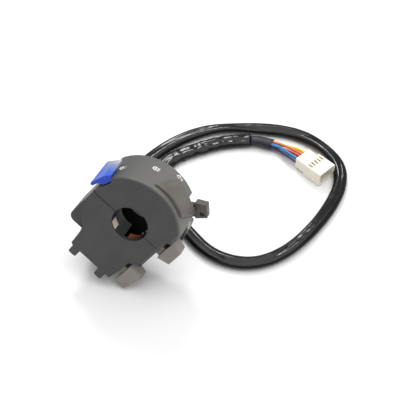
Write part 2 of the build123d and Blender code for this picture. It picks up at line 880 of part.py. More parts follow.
def start_button():
    """Upper push button, a tapered block across the split."""
    base_x = panel_low_x + start_base_gap
    front = half_width - start_front_d
    tip_x = base_x + start_reach
    points = [(base_x, -start_low_y), (tip_x, -start_low_y + start_taper_low),
              (tip_x, start_high_y - start_taper_high), (base_x, start_high_y)]
    cap = prism(points, front - start_depth, front)
    cap = fillet(cap.edges().group_by(Axis.X)[-1], button_round)
    return button(cap, base_x, start_place())


def bridge_face(place):
    """Where the moving contact's inner face lies at rest."""
    return place[0] - shell_wall - slide_gap - flange_thickness - bridge_thickness


def bridge(place):
    """Contact plate on the end of a button's stem."""
    wall, y, z = place
    x = bridge_face(place)
    high, deep = stem_height / 2, stem_depth / 2
    return block(x, x + bridge_thickness, y - high, y + high, z - deep, z + deep)


def return_spring(place, base_front):
    """Spring between the base and the moving contact, as a sleeve of the coil's size."""
    wall, y, z = place
    x = bridge_face(place)
    ring = rod_x(spring_radius, base_front, x, y, z)
    return ring - rod_x(spring_radius - spring_wall, base_front, x, y, z)


def contact_base(place, back_x, low_y, high_y):
    """Moulded plate that carries a button's fixed contacts, fast to the end plate."""
    z = place[2]
    return block(back_x, back_x + base_thickness, low_y, high_y, z - stem_depth / 2, front_inner)


def contact_posts(place, base_front):
    """Two studs that the moving contact closes on."""
    wall, y, z = place
    tip = bridge_face(place) - button_travel - post_gap
    studs = [rod_x(post_radius, base_front, tip, y + side * post_spread, z) for side in (-1, 1)]
    return Compound(studs)


def start_base_x():
    """Back of the start button's contact base, just outside the bar."""
    return bar_radius + strip_gap


def contact_strip():
    """Copper strip beside the bar, seen through the open quarter of the bore."""
    low = bar_radius + strip_gap
    return sector(low, low + strip_thickness, strip_start_angle, strip_end_angle,
                  front_inner - strip_width, front_inner)


def grommet():
    """Rubber grommet: inner flange, waist in the wall and a grooved sleeve behind it."""
    back = -half_width
    body = rod(grommet_flange, -front_inner, -front_inner + grommet_flange_thickness)
    body += rod(grommet_waist, back, -front_inner)
    sleeve = Cone(grommet_tip_radius, grommet_radius, grommet_length)
    body += Pos(0, 0, back - grommet_length / 2) * sleeve
    pitch = grommet_length / (grommet_grooves + 1)
    for index in range(grommet_grooves):
        z = back - pitch * (index + 1)
        at = grommet_radius - (grommet_radius - grommet_tip_radius) * (back - z) / grommet_length
        body -= (rod(2 * at, z - grommet_groove / 2, z + grommet_groove / 2)
                 - rod(at - grommet_groove_depth, z - grommet_groove, z + grommet_groove))
    body -= rod(sleeve_radius, -cluster_width, cluster_width)
    return Pos(grommet_x, grommet_y) * body


def corner_radii(points):
    """Radius of each arc of a cord: a set share of the shorter run beside it."""
    radii = []
    for before, here, after in zip(points, points[1:], points[2:]):
        run_in, run_out = here - before, after - here
        half_turn = radians(run_in.get_angle(run_out)) / 2
        radii.append(run_share * min(run_in.length, run_out.length) / tan(half_turn))
    return radii


def tube(points, radius, name):
    """Solid along straight runs joined by arcs; prints its radii and checks its volume."""
    radii = corner_radii(points)
    path = FilletPolyline(*points, radius=radii)
    section = Plane(origin=path @ 0, z_dir=path % 0) * Circle(radius)
    solid = sweep(section, path=path)
    share = solid.volume / (pi * radius ** 2 * path.length)
    print(name, "length", round(path.length, 1), "volume share", round(share, 4),
          "radii", [round(value, 1) for value in radii])
    return solid


# route of the harness on the table: x, y and the height of its middle above the table
sleeve_route = [(-6.6, 31.6, 6.6), (3.6, 36.4, 4.3), (14.2, 32.6, 3.6), (23.4, 25.6, 3.6),
                (34.0, 18.6, 3.6), (46.6, 14.4, 3.6), (60.2, 15.0, 3.6), (72.2, 20.8, 3.6),
                (82.2, 31.6, 3.6), (90.2, 46.2, 3.6), (96.2, 62.6, 3.6), (100.2, 79.6, 3.6),
                (101.8, 96.4, 3.6), (98.4, 112.4, 3.6), (87.8, 125.4, 3.6), (72.0, 133.6, 3.6),
                (54.6, 135.6, 3.6), (36.8, 132.6, 3.6), (19.2, 127.8, 3.6), (4.2, 120.8, 3.6),
                (-8.0, 109.4, 3.6), (-17.6, 96.4, 3.6), (-24.4, 82.6, 3.6), (-28.0, 74.0, 3.6),
                (-28.4, 66.2, 3.6), (-26.0, 60.4, 3.6), (-20.2, 58.0, 3.6), (-14.4, 60.4, 3.6),
                (-12.0, 66.2, 3.6), (-12.2, 73.6, 3.6), (-13.0, 81.4, 3.6), (-7.2, 90.6, 3.6),
                (2.6, 100.2, 3.7), (14.0, 109.4, 3.9), (25.4, 116.0, 4.0), (31.3, 117.9, 4.0)]
tape_route = [(31.3, 117.9, 4.0), (37.2, 119.8, 4.0), (43.1, 119.9, 4.1), (49.0, 119.4, 4.2)]
wire_route = [(54.8, 118.9, 4.3), (64.6, 115.8, 5.0)]
wire_bundle_shares = [(-2.63, -0.95), (-1.37, 1.37), (0.0, -1.05), (1.37, 1.37), (2.63, -0.95)]


def table_height():
    """Height of the table, which the horn button's rear corner touches."""
    corner_x = box_right_x + horn_base_gap + horn_reach
    return on_table(corner_x, -horn_low_y, half_width - horn_front_d - horn_depth).Z


def on_floor(route):
    """Route points raised from the table's height."""
    return [Vector(x, y, z + table_height()) for x, y, z in route]


def sleeve_points():
    """Whole route of the sleeve, from inside the grommet."""
    start_z = -front_inner + grommet_flange_thickness
    start = on_table(grommet_x, grommet_y, start_z)
    turn = on_table(grommet_x, grommet_y, start_z - exit_run)
    return [start, turn] + on_floor(sleeve_route)


def plug_frame():
    """Location of the plug on the table."""
    return Pos(plug_x, plug_y, table_height() + plug_height / 2) * Rot(0, 0, plug_angle)


def wire_points(index):
    """Route of one wire, from the round bundle to its place in the plug's row."""
    across, up = wire_bundle_shares[index]
    tape = on_floor(tape_route)
    middle, spread = on_floor(wire_route)
    along = (tape[-1] - tape[-2]).normalized()
    side = Vector(0, 0, 1).cross(along).normalized()
    lift = side * across * wire_radius + along.cross(side) * up * wire_radius
    row = plug_rows()[index]
    first = tape[-1] + lift
    second = first + along * (middle - tape[-1]).length
    third = spread + Vector(0, row, 0).rotate(Axis.Z, plug_angle)
    entry = plug_frame() * Pos(-plug_length / 2, row, 0)
    return [first, second, third, entry.position]


def plug_housing():
    """Moulded shell of the plug: stepped back end, open mouth, latch and side windows."""
    half, wide, tall = plug_length / 2, plug_width / 2, plug_height / 2
    rear_wide, rear_tall = wide - plug_rear_step, tall - plug_rear_step
    front = block(-half + plug_rear_length, half, -wide, wide, -tall, tall)
    rear = block(-half, -half + plug_rear_length, -rear_wide, rear_wide, -rear_tall, rear_tall)
    front = fillet(front.edges().filter_by(Axis.X), plug_round)
    rear = fillet(rear.edges().filter_by(Axis.X), plug_round)
    body = front + rear
    mouth = block(half - plug_mouth_depth, half + cut_over, -wide + plug_wall, wide - plug_wall,
                  -tall + plug_wall, tall - plug_wall)
    body -= fillet(mouth.edges().filter_by(Axis.X), plug_round / 2)
    latch_back = -half + plug_rear_length / 2
    latch = prism([(latch_back, 0), (latch_back + plug_latch_length, 0),
                   (latch_back + plug_latch_length, plug_latch_height / 2),
                   (latch_back + plug_latch_length * plug_latch_ramp_share, plug_latch_height)],
                  -plug_latch_width / 2, plug_latch_width / 2)
    body += Pos(0, 0, rear_tall) * Rot(90, 0, 0) * latch
    for row in plug_rows():
        body -= rod_x(wire_radius + hole_gap, -half - cut_over, -half + plug_rear_length / 2, row, 0)
        body -= block(-half + plug_rear_length / 2 - cut_over, half, row - terminal_height / 2
                      - hole_gap, row + terminal_height / 2 + hole_gap, -terminal_width / 2
                      - hole_gap, terminal_width / 2 + hole_gap)
        window = plug_window / 2
        body -= block(half - plug_mouth_depth - plug_window_length, half - plug_mouth_depth
                      - plug_wall, row - window, row + window, 0, tall + cut_over)
    return body


def plug_rows():
    """Side positions of the plug's ways."""
    middle = (len(wire_names) - 1) / 2
    return [(index - middle) * plug_row_step for index in range(len(wire_names))]


def plug_terminals():
    """Flat blades in the plug."""
    start = -plug_length / 2 + plug_rear_length / 2 + hole_gap
    blades = [block(start, start + terminal_length, row - terminal_height / 2,
                    row + terminal_height / 2, -terminal_width / 2, terminal_width / 2)
              for row in plug_rows()]
    return Compound(blades)


print("table height", round(table_height(), 2))
place = housing_frame()
write(place * upper_shell(), "upper_shell")
write(place * lower_shell(), "lower_shell")
write(place * lever_retainer(), "lever_retainer")
write(place * retainer_screws(), "retainer_screws")
for index, spot in enumerate(screw_places()):
    write(place * clamp_screw(spot), f"clamp_screw_{index + 1}")
write(place * pad(0), "bar_pad")
write(place * contact_strip(), "contact_strip")
write(place * beam_pivot_pin(), "beam_pivot_pin")
write(place * beam_contact_block(), "beam_contact_block")
write(place * beam_contacts(), "beam_contacts")
write(place * beam_lever(), "beam_lever")
write(place * beam_lever_spring(), "beam_lever_spring")
write(place * side_lever(), "side_lever")
write(place * turn_board(), "turn_board")
write(place * turn_contacts(), "turn_contacts")
write(place * turn_paddle(), "turn_paddle")
write(place * turn_carriage(), "turn_carriage")
write(place * turn_detent_ball(), "turn_detent_ball")
write(place * turn_detent_spring(), "turn_detent_spring")
write(place * turn_wiper(), "turn_wiper")

horn_front = horn_base_x + base_thickness
horn_low = horn_stem_y - base_height / 2
write(place * horn_button(), "horn_button")
write(place * bridge(horn_place()), "horn_bridge")
write(place * return_spring(horn_place(), horn_front), "horn_spring")
write(place * contact_base(horn_place(), horn_base_x, horn_low, horn_low + base_height),
      "horn_contact_base")
write(place * contact_posts(horn_place(), horn_front), "horn_contacts")

start_front = start_base_x() + base_thickness
start_low = start_stem_y - base_height / 2
write(place * start_button(), "start_button")
write(place * bridge(start_place()), "start_bridge")
write(place * return_spring(start_place(), start_front), "start_spring")
write(place * contact_base(start_place(), start_base_x(), start_low, -split_y - hole_gap),
      "start_contact_base")
write(place * contact_posts(start_place(), start_front), "start_contacts")

write(place * grommet(), "harness_grommet")
write(tube(sleeve_points(), sleeve_radius, "harness_sleeve"), "harness_sleeve")
write(tube(on_floor(tape_route), tape_radius, "harness_tape"), "harness_tape")
for index, name in enumerate(wire_names):
    write(tube(wire_points(index), wire_radius, f"wire_{name}"), f"wire_{name}")
write(plug_frame() * plug_housing(), "plug_housing")
write(plug_frame() * plug_terminals(), "plug_terminals")
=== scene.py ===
import bpy
import bmesh
from math import cos, exp, radians, sin
from mathutils import Matrix, Vector, noise


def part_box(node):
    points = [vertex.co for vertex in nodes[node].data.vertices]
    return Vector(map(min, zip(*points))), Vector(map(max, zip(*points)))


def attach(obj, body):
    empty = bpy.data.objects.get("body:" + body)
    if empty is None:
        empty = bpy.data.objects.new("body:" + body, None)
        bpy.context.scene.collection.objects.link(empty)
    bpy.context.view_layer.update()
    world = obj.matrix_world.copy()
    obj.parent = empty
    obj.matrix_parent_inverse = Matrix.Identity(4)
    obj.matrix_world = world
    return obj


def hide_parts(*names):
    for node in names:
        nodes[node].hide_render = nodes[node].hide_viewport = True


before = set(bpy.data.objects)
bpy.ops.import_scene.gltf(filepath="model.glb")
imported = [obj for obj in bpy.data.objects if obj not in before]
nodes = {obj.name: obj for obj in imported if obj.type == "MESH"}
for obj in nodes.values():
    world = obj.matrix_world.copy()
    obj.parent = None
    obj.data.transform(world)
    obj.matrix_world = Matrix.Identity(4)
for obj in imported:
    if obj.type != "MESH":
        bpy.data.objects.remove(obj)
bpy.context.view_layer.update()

# the housing's own axes: split runs along the cut, crown points out of the round half,
# and barAxis runs along the handlebar towards the open end face
mm = 0.001
barTilt = radians(16)
barRoll = radians(35)
barAxis = Vector((0, -cos(barTilt), sin(barTilt)))
upAxis = Vector((0, sin(barTilt), cos(barTilt)))
splitAxis = Vector((1, 0, 0)) * cos(barRoll) - upAxis * sin(barRoll)
crownAxis = barAxis.cross(splitAxis)
housingTurn = Matrix((splitAxis, crownAxis, barAxis)).transposed().to_4x4()
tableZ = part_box("plug_housing")[0].z
barrelRadius = 30.4 * mm
frontZ = 14.25 * mm


def onBarrel(angle, across, deep, lift):  # a place on the barrel's skin, in degrees and mm
    turn = radians(angle) + across * mm / barrelRadius
    radius = barrelRadius + lift * mm
    return housingTurn @ Vector((radius * cos(turn), radius * sin(turn), frontZ - deep * mm))


print("camera")
cameraSettings = {
    "place": (0.1578, -0.3532, 0.4382),
    "right": (0.9469, 0.3216, 0.0),
    "up": (-0.2390, 0.7037, 0.6691),
    "back": (0.2152, -0.6336, 0.7431),
    "lens": 90.0,
    "sensor": 36.0,
}
cameraData = bpy.data.cameras.new("photoCamera")
cameraData.lens = cameraSettings["lens"]
cameraData.sensor_width = cameraSettings["sensor"]
cameraData.clip_start = 0.01
camera = bpy.data.objects.new("photoCamera", cameraData)
bpy.context.collection.objects.link(camera)
cameraTurn = Matrix((cameraSettings["right"], cameraSettings["up"], cameraSettings["back"]))
camera.matrix_world = (Matrix.Translation(cameraSettings["place"])
                       @ cameraTurn.transposed().to_4x4())
bpy.context.scene.camera = camera


def linear(hexColour):  # sRGB hex to linear colour with full alpha
    parts = [int(hexColour[i:i + 2], 16) / 255 for i in (0, 2, 4)]
    return [p / 12.92 if p <= 0.04045 else ((p + 0.055) / 1.055) ** 2.4 for p in parts] + [1.0]


def addNode(tree, kind, settings=None, links=None):  # an input goes by its name or its number
    node = tree.nodes.new(kind)
    for name, value in (settings or {}).items():
        if isinstance(name, int) or name in node.inputs:
            node.inputs[name].default_value = value
        else:
            setattr(node, name, value)
    for name, socket in (links or {}).items():
        tree.links.new(socket, node.inputs[name])
    return node


def newMaterial(name, **shaderSettings):
    material = bpy.data.materials.new(name)
    material.use_nodes = True
    tree = material.node_tree
    shader = tree.nodes["Principled BSDF"]
    for key, value in shaderSettings.items():
        shader.inputs[key].default_value = value
    return material, tree, shader


def colourRamp(tree, stops, factor):
    ramp = addNode(tree, "ShaderNodeValToRGB", links={"Fac": factor})
    ramp.color_ramp.elements[0].position, ramp.color_ramp.elements[0].color = stops[0]
    ramp.color_ramp.elements[1].position, ramp.color_ramp.elements[1].color = stops[-1]
    for place, colour in stops[1:-1]:
        ramp.color_ramp.elements.new(place).color = colour
    return ramp


def mixTint(tree, under, over, factor):  # lays one colour over another by a mask
    mix = addNode(tree, "ShaderNodeMix", {"data_type": "RGBA", 7: linear(over)},
                  {"Factor": factor, 6: under})
    return mix.outputs[2]


def barPlaces(tree, place):  # distance from the bar's axis, and places along the crown and split
    along = addNode(tree, "ShaderNodeVectorMath", {"operation": "DOT_PRODUCT", 1: barAxis},
                    {0: place}).outputs["Value"]
    onAxis = addNode(tree, "ShaderNodeVectorMath", {"operation": "SCALE", 0: barAxis},
                     {"Scale": along}).outputs["Vector"]
    outward = addNode(tree, "ShaderNodeVectorMath", {"operation": "SUBTRACT"},
                      {0: place, 1: onAxis}).outputs["Vector"]
    radius = addNode(tree, "ShaderNodeVectorMath", {"operation": "LENGTH"},
                     {0: outward}).outputs["Value"]
    crown = addNode(tree, "ShaderNodeVectorMath", {"operation": "DOT_PRODUCT", 1: crownAxis},
                    {0: place}).outputs["Value"]
    split = addNode(tree, "ShaderNodeVectorMath", {"operation": "DOT_PRODUCT", 1: splitAxis},
                    {0: place}).outputs["Value"]
    return radius, crown, split


def mouldedPlastic(name, settings):
    # a moulded part: spark-eroded grain from the tool, faint flow mottling, edges rubbed pale
    material, tree, shader = newMaterial(name, **{"Roughness": settings["roughness"], "IOR": 1.49})
    place = addNode(tree, "ShaderNodeTexCoord").outputs["Object"]
    cloud = addNode(tree, "ShaderNodeTexNoise",
                    {"Scale": 1 / (settings["mottleMm"] * mm), "Detail": 3.0}, {"Vector": place})
    colour = colourRamp(tree, [(0.3, linear(settings["dark"])), (0.7, linear(settings["light"]))],
                        cloud.outputs["Fac"]).outputs["Color"]
    if "outsidePaintedLight" in settings:  # the barrel's outside is lighter, and painted light makes it lightest towards the rider's side
        radius, crown, split = barPlaces(tree, place)
        outside = addNode(tree, "ShaderNodeMapRange",
                          {"From Min": 28.6 * mm, "From Max": 30.3 * mm}, {"Value": radius})
        side = addNode(tree, "ShaderNodeMapRange",
                       {"From Min": -26 * mm, "From Max": -4 * mm, "To Min": 0.12, "To Max": 1.0},
                       {"Value": split})
        outsidePaintedLight = addNode(tree, "ShaderNodeMath", {"operation": "MULTIPLY"},
                         {0: outside.outputs["Result"], 1: side.outputs["Result"]})
        colour = mixTint(tree, colour, settings["outsidePaintedLight"], outsidePaintedLight.outputs["Value"])
    if "bore" in settings:  # painted shade darkens the bore, and a painted shade line along the seam stands in for the dark of its groove
        radius, crown, split = barPlaces(tree, place)
        inside = addNode(tree, "ShaderNodeMapRange",
                         {"From Min": 11.45 * mm, "From Max": 11.2 * mm}, {"Value": radius})
        colour = mixTint(tree, colour, settings["bore"], inside.outputs["Result"])
        # painted shade along the seam, wider where the groove is wider
        level = addNode(tree, "ShaderNodeMath", {"operation": "ABSOLUTE"}, {0: crown})
        width = addNode(tree, "ShaderNodeMapRange",
                        {"From Min": -8 * mm, "From Max": 8 * mm, "To Min": 0.62 * mm,
                         "To Max": 0.34 * mm}, {"Value": split})
        seam = addNode(tree, "ShaderNodeMath", {"operation": "LESS_THAN"},
                       {0: level.outputs["Value"], 1: width.outputs["Result"]})
        colour = mixTint(tree, colour, settings["bore"], seam.outputs["Value"])
    rounded = addNode(tree, "ShaderNodeBevel", {"samples": 4, "Radius": 0.3 * mm})
    surface = addNode(tree, "ShaderNodeNewGeometry")
    facing = addNode(tree, "ShaderNodeVectorMath", {"operation": "DOT_PRODUCT"},
                     {0: rounded.outputs["Normal"], 1: surface.outputs["Normal"]})
    rubbed = addNode(tree, "ShaderNodeMapRange",
                     {"From Min": 0.99, "From Max": 0.75, "To Max": settings["wear"]},
                     {"Value": facing.outputs["Value"]})
    colour = mixTint(tree, colour, settings["worn"], rubbed.outputs["Result"])
    tree.links.new(colour, shader.inputs["Base Color"])
    grain = addNode(tree, "ShaderNodeTexNoise",
                    {"Scale": 1 / (settings["grainMm"] * mm), "Detail": 4.0}, {"Vector": place})
    bump = addNode(tree, "ShaderNodeBump",
                   {"Strength": settings["bump"], "Distance": 0.06 * mm},
                   {"Height": grain.outputs["Fac"]})
    tree.links.new(bump.outputs["Normal"], shader.inputs["Normal"])
    return material


print("materials")
# glass-filled nylon, satin from its eroded mould, dark neutral grey, with painted shade in the bore and
# along the seam
housingNylon = mouldedPlastic("glassFilledNylonDark", {
    "dark": "343435", "light": "3b3b3c", "worn": "585756", "wear": 0.5, "roughness": 0.5,
    "bore": "232327", "mottleMm": 9.0, "grainMm": 0.55, "bump": 0.22})
# the round half is the same nylon, with the same painted shade in the bore and seam, and a lighter
# barrel outside given painted light towards the rider's side
barrelNylon = mouldedPlastic("glassFilledNylonPaintedLight", {
    "dark": "343435", "light": "3b3b3c", "worn": "6a6967", "wear": 0.5, "roughness": 0.5,
    "outsidePaintedLight": "646360", "bore": "232327", "mottleMm": 11.0, "grainMm": 0.55, "bump": 0.25})
# acetal, smoother and browner than the housing, on the slider that a thumb rubs
keyAcetal = mouldedPlastic("acetalTaupe", {
    "dark": "58544f", "light": "625e58", "worn": "837d75", "wear": 0.6, "roughness": 0.42,
    "mottleMm": 6.0, "grainMm": 0.5, "bump": 0.12})
# painted light: the same acetal in a lighter copy on the two buttons, standing in for the light they
# catch
buttonAcetal = mouldedPlastic("acetalTaupePaintedLight", {
    "dark": "7a756f", "light": "85807a", "worn": "989289", "wear": 0.6, "roughness": 0.42,
    "mottleMm": 6.0, "grainMm": 0.5, "bump": 0.12})
# the same acetal in a darker shade on the side lever
leverAcetal = mouldedPlastic("acetalUmber", {
    "dark": "4a4642", "light": "56514c", "worn": "78726a", "wear": 0.5, "roughness": 0.42,
    "mottleMm": 6.0, "grainMm": 0.5, "bump": 0.12})
# phenolic moulding of the contact blocks, almost black
innerPhenolic = mouldedPlastic("phenolicBlack", {
    "dark": "191614", "light": "231f1c", "worn": "3a3430", "wear": 0.3, "roughness": 0.6,
    "mottleMm": 4.0, "grainMm": 0.4, "bump": 0.2})
# natural nylon, cream and slightly waxy
creamNylon = mouldedPlastic("naturalNylonCream", {
    "dark": "e6e0cd", "light": "efeadb", "worn": "f6f3e8", "wear": 0.4, "roughness": 0.36,
    "mottleMm": 5.0, "grainMm": 0.6, "bump": 0.08})
creamShader = creamNylon.node_tree.nodes["Principled BSDF"]
creamShader.inputs["Subsurface Weight"].default_value = 0.25
creamShader.inputs["Subsurface Scale"].default_value = 1.5 * mm
# laminated paper board under the turn contacts, tan with fine fibres
boardLaminate = mouldedPlastic("phenolicPaperBoard", {
    "dark": "6f4f2a", "light": "8a6535", "worn": "a37c48", "wear": 0.4, "roughness": 0.5,
    "mottleMm": 2.0, "grainMm": 0.3, "bump": 0.15})


def bluePolycarbonate():
    # tinted polycarbonate: chalky lavender at its root, clear blue at the tip, and painted shade makes
    # its end face navy
    material, tree, shader = newMaterial("tintedPolycarbonateBlue", **{
        "Roughness": 0.34, "IOR": 1.58, "Specular IOR Level": 0.32})
    place = addNode(tree, "ShaderNodeTexCoord").outputs["Object"]
    rootWay = (splitAxis - barAxis).normalized()
    root = addNode(tree, "ShaderNodeVectorMath", {"operation": "DOT_PRODUCT", 1: rootWay},
                   {0: place})
    reach = addNode(tree, "ShaderNodeMapRange", {"From Min": -32 * mm, "From Max": -17 * mm},
                    {"Value": root.outputs["Value"]})
    tint = colourRamp(tree, [(0.0, linear("1048b8")), (0.35, linear("2c5abc")),
                             (0.62, linear("7682a6")), (0.95, linear("c3bfba"))],
                      reach.outputs["Result"])
    # painted shade: faces that point along the bar are tinted navy
    surface = addNode(tree, "ShaderNodeNewGeometry")
    facing = addNode(tree, "ShaderNodeVectorMath", {"operation": "DOT_PRODUCT", 1: barAxis},
                     {0: surface.outputs["Normal"]})
    endFaceShade = addNode(tree, "ShaderNodeMapRange", {"From Min": 0.55, "From Max": 0.9},
                      {"Value": facing.outputs["Value"]})
    colour = mixTint(tree, tint.outputs["Color"], "1440b4", endFaceShade.outputs["Result"])
    tree.links.new(colour, shader.inputs["Base Color"])
    shader.inputs["Subsurface Weight"].default_value = 0.05
    shader.inputs["Subsurface Scale"].default_value = 0.6 * mm
    return material


def vinylSleeve():
    # plasticised vinyl tube: near black with long wet highlights and a thin bloom of dust
    material, tree, shader = newMaterial("vinylSleeveBlack", **{
        "IOR": 1.53, "Specular IOR Level": 0.12, "Coat Weight": 0.3, "Coat Roughness": 0.08})
    place = addNode(tree, "ShaderNodeTexCoord").outputs["Object"]
    dust = addNode(tree, "ShaderNodeTexNoise", {"Scale": 1 / (14 * mm), "Detail": 5.0},
                   {"Vector": place})
    tone = colourRamp(tree, [(0.35, linear("08080a")), (0.75, linear("121215"))],
                      dust.outputs["Fac"])
    tree.links.new(tone.outputs["Color"], shader.inputs["Base Color"])
    gloss = addNode(tree, "ShaderNodeMapRange", {"To Min": 0.16, "To Max": 0.28},
                    {"Value": dust.outputs["Fac"]})
    tree.links.new(gloss.outputs["Result"], shader.inputs["Roughness"])
    wrinkle = addNode(tree, "ShaderNodeTexNoise",
                      {"Scale": 1 / (7.0 * mm), "Detail": 1.5, "Distortion": 0.4},
                      {"Vector": place})
    bump = addNode(tree, "ShaderNodeBump", {"Strength": 0.3, "Distance": 0.3 * mm},
                   {"Height": wrinkle.outputs["Fac"]})
    tree.links.new(bump.outputs["Normal"], shader.inputs["Normal"])
    return material


def plainPolymer(name, colour, roughness, grainMm, bumpStrength):
    # an extruded or moulded soft part of one colour, with faint drag marks
    material, tree, shader = newMaterial(name, **{"Roughness": roughness, "IOR": 1.5})
    place = addNode(tree, "ShaderNodeTexCoord").outputs["Object"]
    cloud = addNode(tree, "ShaderNodeTexNoise", {"Scale": 1 / (grainMm * mm), "Detail": 3.0},
                    {"Vector": place})
    base = linear(colour)
    shade = [c * 0.78 for c in base[:3]] + [1.0]
    tone = colourRamp(tree, [(0.3, shade), (0.7, base)], cloud.outputs["Fac"])
    tree.links.new(tone.outputs["Color"], shader.inputs["Base Color"])
    bump = addNode(tree, "ShaderNodeBump", {"Strength": bumpStrength, "Distance": 0.1 * mm},
                   {"Height": cloud.outputs["Fac"]})
    tree.links.new(bump.outputs["Normal"], shader.inputs["Normal"])
    return material


def rolledMetal(name, colour, roughness, streakMm):
    # stamped or turned metal: fine streaks from rolling and a little tarnish
    material, tree, shader = newMaterial(name, **{"Metallic": 1.0})
    place = addNode(tree, "ShaderNodeTexCoord").outputs["Object"]
    cloud = addNode(tree, "ShaderNodeTexNoise", {"Scale": 1 / (streakMm * mm), "Detail": 5.0},
                    {"Vector": place})
    base = linear(colour)
    shade = [c * 0.6 for c in base[:3]] + [1.0]
    tone = colourRamp(tree, [(0.35, shade), (0.65, base)], cloud.outputs["Fac"])
    tree.links.new(tone.outputs["Color"], shader.inputs["Base Color"])
    rough = addNode(tree, "ShaderNodeMapRange",
                    {"To Min": roughness * 0.8, "To Max": roughness * 1.3},
                    {"Value": cloud.outputs["Fac"]})
    tree.links.new(rough.outputs["Result"], shader.inputs["Roughness"])
    return material


blueLever = bluePolycarbonate()
sleeveVinyl = vinylSleeve()
tapeVinyl = plainPolymer("vinylTapeMatt", "11121f", 0.5, 1.6, 0.4)  # wound tape, dull
grommetRubber = plainPolymer("nitrileRubberBlack", "141414", 0.6, 1.0, 0.3)  # soft, sooty
zincSteel = rolledMetal("zincPlatedSteel", "b9bbbd", 0.32, 1.2)
springSteel = rolledMetal("springSteelWire", "8e9094", 0.3, 0.8)
copperStrip = rolledMetal("berylliumCopper", "b4673c", 0.34, 1.0)
tinnedBrass = rolledMetal("tinnedBrass", "c9b37a", 0.3, 0.8)
iconPaint = plainPolymer("padPrintWhite", "e9e9e6", 0.55, 0.8, 0.1)  # pad-printed ink
wireColours = {"navy": "232a5c", "blue": "1689c0", "red": "c4241b", "orange": "e2742a",
               "yellow": "e8c92e"}
wireVinyls = {name: plainPolymer("wireVinyl" + name.capitalize(), colour, 0.34, 1.2, 0.15)
              for name, colour in wireColours.items()}

print("CAD nodes")
nodeMaterials = {
    "upper_shell": barrelNylon, "lower_shell": housingNylon, "bar_pad": creamNylon,
    "beam_lever": blueLever, "side_lever": leverAcetal, "turn_paddle": keyAcetal,
    "horn_button": buttonAcetal, "start_button": buttonAcetal, "turn_carriage": innerPhenolic,
    "beam_contact_block": innerPhenolic, "horn_contact_base": innerPhenolic,
    "start_contact_base": innerPhenolic, "turn_board": boardLaminate,
    "turn_contacts": copperStrip, "turn_wiper": copperStrip, "beam_contacts": copperStrip,
    "horn_contacts": copperStrip, "horn_bridge": copperStrip, "start_contacts": copperStrip,
    "start_bridge": copperStrip, "contact_strip": copperStrip, "clamp_screw_1": zincSteel,
    "clamp_screw_2": zincSteel, "beam_pivot_pin": zincSteel, "retainer_screws": zincSteel,
    "lever_retainer": zincSteel, "turn_detent_ball": zincSteel,
    "turn_detent_spring": springSteel, "beam_lever_spring": springSteel,
    "horn_spring": springSteel, "start_spring": springSteel, "harness_grommet": grommetRubber,
    "plug_housing": creamNylon, "plug_terminals": tinnedBrass,
}
roundedNodes = {"upper_shell": 0.25, "lower_shell": 0.25, "side_lever": 0.2,
                "horn_button": 0.25, "start_button": 0.25, "beam_lever": 0.25}
for name, material in nodeMaterials.items():
    piece = nodes[name]
    piece.data.materials.clear()
    piece.data.materials.append(material)
    weld = piece.modifiers.new("weldFacets", "WELD")
    weld.merge_threshold = 0.002 * mm
    if name in roundedNodes:  # moulded edges catch a thin line of light
        edge = piece.modifiers.new("mouldedEdge", "BEVEL")
        edge.width = roundedNodes[name] * mm
        edge.segments = 2
        edge.limit_method = "ANGLE"
        edge.angle_limit = radians(50)
        edge.use_clamp_overlap = True
    piece.data.polygons.foreach_set("use_smooth", [True] * len(piece.data.polygons))
    split = piece.modifiers.new("sharpEdges", "EDGE_SPLIT")
    split.split_angle = radians(32)
    flat = piece.modifiers.new("flatFaces", "WEIGHTED_NORMAL")
    flat.mode = "FACE_AREA"
    flat.weight = 100


def finishMesh(name, shape, material, smooth=True):  # bmesh to a linked object with a material
    mesh = bpy.data.meshes.new(name)
    shape.to_mesh(mesh)
    shape.free()
    mesh.materials.append(material)
    for face in mesh.polygons:
        face.use_smooth = smooth
    piece = bpy.data.objects.new(name, mesh)
    bpy.context.collection.objects.link(piece)
    return piece


print("harness")
harness = {
    "grommet": (6.0, -30.0), "grommetStart": -10.25, "exitRun": 19.5,
    "width": 9.1, "height": 5.3, "ringEvery": 1.5, "ringSides": 32,
    "creaseDepth": 0.5, "creaseShare": 3.4, "creaseSway": 0.25, "wrinkle": 0.55,
    "crumpleFrom": 0.815, "crumpleOver": 0.02, "crumpleSwell": 0.12, "smoothShare": 0.12,
    "roundRadius": 3.5, "roundRings": 12, "flattenRings": 14, "noiseTurns": 330.0,
    "tapeFrom": 0.963, "tableGap": 0.06,
}
# route on the table: x, y and height of the middle above the table, in millimetres
harnessRoute = [
    (-6.6, 31.6, 6.6), (3.6, 36.4, 4.3), (14.2, 32.6, 3.6), (23.4, 25.6, 3.6),
    (34.0, 18.6, 3.6), (46.6, 14.4, 3.6), (60.2, 15.0, 3.6), (72.2, 20.8, 3.6),
    (82.2, 31.6, 3.6), (90.2, 46.2, 3.6), (96.2, 62.6, 3.6), (100.2, 79.6, 3.6),
    (101.8, 96.4, 3.6), (98.4, 112.4, 3.6), (87.8, 125.4, 3.6), (72.0, 133.6, 3.6),
    (54.6, 135.6, 3.6), (36.8, 132.6, 3.6), (19.2, 127.8, 3.6), (4.2, 120.8, 3.6),
    (-8.0, 109.4, 3.6), (-17.6, 96.4, 3.6), (-24.4, 82.6, 3.6), (-28.0, 74.0, 3.6),
    (-28.4, 66.2, 3.6), (-26.0, 60.4, 3.6), (-20.2, 58.0, 3.6), (-14.4, 60.4, 3.6),
    (-12.0, 66.2, 3.6), (-12.2, 73.6, 3.6), (-13.0, 81.4, 3.6), (-7.2, 90.6, 3.6),
    (2.6, 100.2, 3.7), (14.0, 109.4, 3.9), (25.4, 116.0, 4.0), (37.2, 119.8, 4.0),
    (43.1, 119.9, 4.1), (49.0, 119.4, 4.2)]


def onTable(point):
    return Vector((point[0] * mm, point[1] * mm, tableZ + point[2] * mm))


